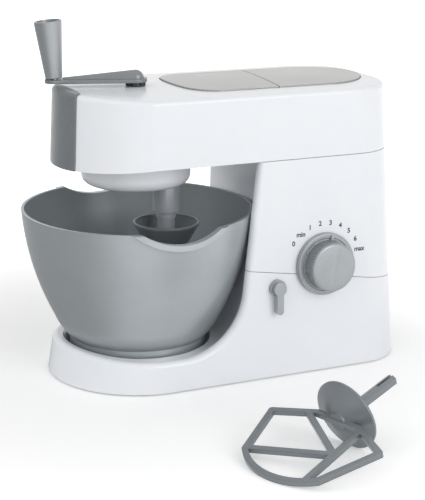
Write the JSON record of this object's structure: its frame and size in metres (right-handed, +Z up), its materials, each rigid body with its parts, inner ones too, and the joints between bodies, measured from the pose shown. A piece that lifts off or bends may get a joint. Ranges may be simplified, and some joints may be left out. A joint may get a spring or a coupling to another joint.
{
  "type": "toy stand mixer",
  "caption": "Child's toy stand mixer: hand crank on a tilting head drives a planetary tool over a lift-out bowl, with a speed dial, a release lever and a loose K-shaped beater.",
  "frame": {"origin": "on the table under the centre of the mixing bowl, in the plane of the feet", "axes": "+Z up, +X from the nose to the rear of the head, -Y towards the side with the dial and the lever"},
  "size_m": [0.2644, 0.3119, 0.239],
  "materials": {
    "white_case": "gloss white moulded case",
    "pale_plate": "plain moulded plate",
    "rubber": "matt rubber",
    "steel": "plain steel",
    "grey_trim": "satin mid grey",
    "pale_panel": "warm metallic grey",
    "silver_bowl": "metallic silver grey",
    "tool_grey": "satin grey",
    "dark_trim": "satin black",
    "gear_white": "unpainted natural plastic"
  },
  "bodies": {
    "base": {"lower_case": "white_case", "base_plate": "pale_plate", "foot_1": "rubber", "foot_2": "rubber", "foot_3": "rubber", "foot_4": "rubber", "base_screws": "steel", "hinge_pin": "steel"},
    "lever": {"release_lever": "grey_trim", "lever_shaft": "steel"},
    "head": {"pillar_case": "white_case", "head_case": "white_case", "case_screws": "steel", "nose_cover": "grey_trim", "front_panel": "pale_panel", "rear_panel": "pale_panel", "underplate": "pale_plate", "ring_gear": "gear_white", "gear_screws": "steel", "top_bush": "gear_white", "latch_keeper": "steel", "click_leaf": "steel"},
    "dial": {"speed_dial": "grey_trim", "dial_shaft": "gear_white"},
    "crank": {"drive_shaft": "steel", "planet_carrier": "white_case", "carrier_screw": "steel", "drive_collar": "dark_trim", "crank_arm": "grey_trim", "grip_pin": "steel"},
    "handle": {"crank_grip": "grey_trim"},
    "spindle": {"planet_gear": "gear_white", "tool_socket": "grey_trim", "spindle_clip": "steel", "dough_hook": "tool_grey"},
    "bowl": {"mixing_bowl": "silver_bowl"},
    "loose_beater": {"k_beater": "tool_grey"}
  },
  "joints": [
    {"name": "head_tilt", "type": "hinge", "parent": "base", "child": "head", "pos_m": [0.1828, 0, 0.05628], "axis": [0, 1, 0], "range_deg": [0, 35]},
    {"name": "lever_turn", "type": "hinge", "parent": "base", "child": "lever", "pos_m": [0.0754, -0.05989, 0.0632], "axis": [0, 0.9996, -0.027], "range_deg": [0, 15]},
    {"name": "dial_turn", "type": "hinge", "parent": "head", "child": "dial", "pos_m": [0.1112, -0.05954, 0.0761], "axis": [0, 0.9996, -0.027], "range_deg": [-65, 64]},
    {"name": "crank_turn", "type": "hinge", "parent": "head", "child": "crank", "pos_m": [-0.0014, 0, 0.2], "axis": [0, 0, 1], "continuous": true},
    {"name": "handle_spin", "type": "hinge", "parent": "crank", "child": "handle", "pos_m": [-0.05308, 0.01385, 0.20055], "axis": [-0.0926, 0.0248, 0.9954], "continuous": true},
    {"name": "tool_spin", "type": "hinge", "parent": "crank", "child": "spindle", "pos_m": [0.01923, -0.0039, 0.115], "axis": [0, 0, 1], "continuous": true},
    {"name": "bowl_lift", "type": "slide", "parent": "base", "child": "bowl", "axis": [0, 0, 1], "range_m": [0, 0.009]},
    {"name": "beater_lift", "type": "slide", "parent": "base", "child": "loose_beater", "axis": [0, 0, 1], "range_m": [0, 0.02]}
  ],
  "couplings": [
    {"joint": "tool_spin", "follows": "crank_turn", "ratio": -3.3333}
  ]
}
